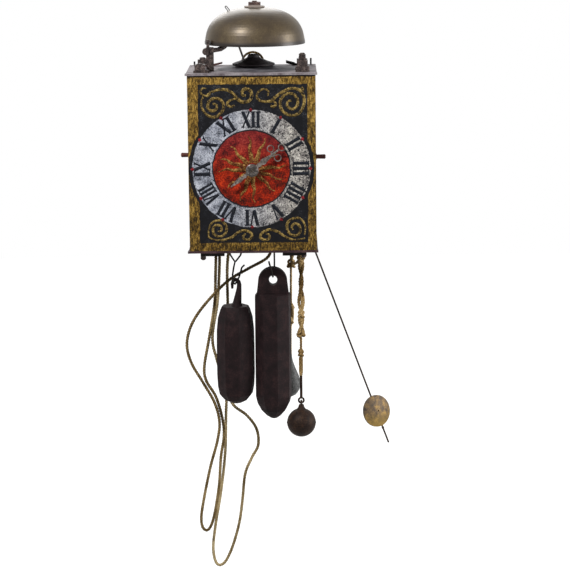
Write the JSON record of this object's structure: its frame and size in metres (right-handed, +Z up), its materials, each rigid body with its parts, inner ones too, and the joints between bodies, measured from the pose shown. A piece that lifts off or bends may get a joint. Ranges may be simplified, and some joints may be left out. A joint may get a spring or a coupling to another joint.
{
  "type": "wall clock",
  "caption": "Hanging iron clock: sheet case with painted dial and hand, bell on a stand above, bob pendulum behind, hooked iron weights and slack ropes below.",
  "frame": {"origin": "centre of the hanging eye behind the case", "axes": "+X to the right and +Y to the wall seen from the front, +Z up"},
  "size_m": [0.2589, 0.1614, 0.7147],
  "materials": {
    "top_iron": "worn grey, slightly shiny",
    "bottom_iron": "dull, purple brown",
    "post_iron": "dull, forged",
    "dial_paint": "matt oil paint, worn",
    "door_paint": "matt red brown paint",
    "back_iron": "dull",
    "movement_iron": "filed iron, oiled",
    "wheel_brass": "dull with age",
    "pulley_wood": "turned, dark",
    "bell_bronze": "dull olive patina",
    "bell_nut_iron": "rusty",
    "bare_steel": "dull grey",
    "ring_gilt": "worn golden brown",
    "rear_tongue": "rusty",
    "hand_steel": "polished, worn",
    "pendulum_iron": "dull wire",
    "bob_brass": "brown patina",
    "weight_iron": "dark, rusty",
    "wire_iron": "dull wire",
    "ball_iron": "rusty brown",
    "lead": "dull grey lead",
    "rope_pale": "twisted hemp, faded",
    "rope_tan": "plaited hemp, tan"
  },
  "bodies": {
    "case": {"top_plate": "top_iron", "bottom_plate": "bottom_iron", "corner_posts": "post_iron", "post_nuts": "post_iron", "dial_plate": "dial_paint", "dial_pins": "dial_paint", "back_plate": "back_iron", "front_bar": "movement_iron", "middle_bar": "movement_iron", "rear_bar": "movement_iron", "potence": "movement_iron", "verge_cock": "back_iron", "hanging_eye": "ring_gilt", "wall_spurs": "post_iron", "under_straps": "post_iron", "rear_straps": "rear_tongue", "hinge_pins": "post_iron", "bell_stand": "post_iron", "bell": "bell_bronze", "bell_nut": "bell_nut_iron", "bell_staple": "bell_nut_iron", "dust_plate": "bare_steel", "cap": "bare_steel", "hammer_spring": "movement_iron", "going_rope": "rope_pale", "strike_rope": "rope_pale"},
    "left_door": {"left_door": "door_paint"},
    "right_door": {"right_door": "door_paint"},
    "going_arbor": {"going_great_wheel": "wheel_brass", "going_click": "movement_iron"},
    "going_drum": {"going_pulley": "pulley_wood"},
    "contrate": {"contrate_wheel": "wheel_brass"},
    "crown": {"crown_wheel": "wheel_brass"},
    "verge": {"verge": "movement_iron", "pendulum_rod": "pendulum_iron", "pendulum_bob": "bob_brass"},
    "hour": {"hour_wheel": "wheel_brass", "hour_hand": "hand_steel", "hand_boss": "hand_steel"},
    "strike_arbor": {"strike_great_wheel": "wheel_brass", "strike_click": "movement_iron"},
    "strike_drum": {"strike_pulley": "pulley_wood"},
    "hoop": {"hoop_wheel": "wheel_brass"},
    "fly": {"fly_pinion": "movement_iron", "fly": "wheel_brass"},
    "count": {"count_wheel": "wheel_brass"},
    "hammer": {"hammer": "movement_iron", "hammer_head": "movement_iron"},
    "lifting": {"lifting_lever": "movement_iron"},
    "locking": {"locking_lever": "movement_iron"},
    "left_weight": {"left_hook": "wire_iron", "left_weight": "weight_iron"},
    "right_weight": {"right_hook": "wire_iron", "right_weight": "weight_iron"},
    "ball": {"ball_rope": "rope_tan", "ball_link": "wire_iron", "iron_ball": "ball_iron"},
    "lead": {"lead_rope": "rope_tan", "lead_drop": "lead"}
  },
  "joints": [
    {"name": "left_door", "type": "hinge", "parent": "case", "child": "left_door", "pos_m": [-0.0725, -0.0095, -0.112], "axis": [0, 0, 1], "range_deg": [-95, 0]},
    {"name": "right_door", "type": "hinge", "parent": "case", "child": "right_door", "pos_m": [0.0725, -0.0095, -0.112], "axis": [0, 0, 1], "range_deg": [0, 95]},
    {"name": "going_arbor_spin", "type": "hinge", "parent": "case", "child": "going_arbor", "pos_m": [0, -0.0825, -0.164], "axis": [0, 1, 0], "continuous": true},
    {"name": "going_drum_spin", "type": "hinge", "parent": "going_arbor", "child": "going_drum", "pos_m": [0, -0.0965, -0.164], "axis": [0, 1, 0], "continuous": true},
    {"name": "contrate_spin", "type": "hinge", "parent": "case", "child": "contrate", "pos_m": [0, -0.0825, -0.12275], "axis": [0, 1, 0], "continuous": true},
    {"name": "crown_spin", "type": "hinge", "parent": "case", "child": "crown", "pos_m": [0, -0.0825, -0.082], "axis": [0, 0, 1], "continuous": true},
    {"name": "hour_spin", "type": "hinge", "parent": "case", "child": "hour", "pos_m": [0, -0.1145, -0.118], "axis": [0, 1, 0], "continuous": true},
    {"name": "pendulum_swing", "type": "hinge", "parent": "case", "child": "verge", "pos_m": [0, 0.0085, -0.0348], "axis": [0, 1, 0], "range_deg": [0, 40.6]},
    {"name": "strike_arbor_spin", "type": "hinge", "parent": "case", "child": "strike_arbor", "pos_m": [0, -0.0475, -0.164], "axis": [0, 1, 0], "continuous": true},
    {"name": "strike_drum_spin", "type": "hinge", "parent": "strike_arbor", "child": "strike_drum", "pos_m": [0, -0.038, -0.164], "axis": [0, 1, 0], "continuous": true},
    {"name": "hoop_spin", "type": "hinge", "parent": "case", "child": "hoop", "pos_m": [0, -0.0285, -0.12275], "axis": [0, 1, 0], "continuous": true},
    {"name": "fly_spin", "type": "hinge", "parent": "case", "child": "fly", "pos_m": [0, -0.0325, -0.09575], "axis": [0, 1, 0], "continuous": true},
    {"name": "count_spin", "type": "hinge", "parent": "case", "child": "count", "pos_m": [-0.0344, -0.0005, -0.164], "axis": [0, 1, 0], "continuous": true},
    {"name": "hammer_lift", "type": "hinge", "parent": "case", "child": "hammer", "pos_m": [0.028, -0.0325, -0.102], "axis": [0, 1, 0], "range_deg": [0, 8]},
    {"name": "lifting_lever_tilt", "type": "hinge", "parent": "case", "child": "lifting", "pos_m": [-0.038, -0.0825, -0.102], "axis": [0, 1, 0], "range_deg": [-8, 0]},
    {"name": "locking_lever_tilt", "type": "hinge", "parent": "case", "child": "locking", "pos_m": [-0.038, -0.0325, -0.078], "axis": [0, 1, 0], "range_deg": [0, 7.2]},
    {"name": "left_weight_swing", "type": "hinge", "parent": "case", "child": "left_weight", "pos_m": [-0.023, -0.0885, -0.21875], "axis": [1, 0, 0], "range_deg": [-25, 0.5]},
    {"name": "right_weight_swing", "type": "hinge", "parent": "case", "child": "right_weight", "pos_m": [0.025, -0.0885, -0.21875], "axis": [1, 0, 0], "range_deg": [-25, 1.5]},
    {"name": "ball_swing", "type": "hinge", "parent": "case", "child": "ball", "pos_m": [0.058, -0.0885, -0.22], "axis": [1, 0, 0], "range_deg": [-25, 5]},
    {"name": "lead_swing", "type": "hinge", "parent": "case", "child": "lead", "pos_m": [0.046, -0.038, -0.22], "axis": [1, 0, 0], "range_deg": [-2, 12]}
  ],
  "couplings": [
    {"joint": "locking_lever_tilt", "follows": "lifting_lever_tilt", "ratio": -0.9},
    {"joint": "contrate_spin", "follows": "going_arbor_spin", "ratio": -10},
    {"joint": "crown_spin", "follows": "going_arbor_spin", "ratio": 100},
    {"joint": "hour_spin", "follows": "going_arbor_spin", "ratio": -0.083333},
    {"joint": "hoop_spin", "follows": "strike_arbor_spin", "ratio": -8},
    {"joint": "fly_spin", "follows": "strike_arbor_spin", "ratio": 72},
    {"joint": "count_spin", "follows": "strike_arbor_spin", "ratio": -0.10256}
  ]
}
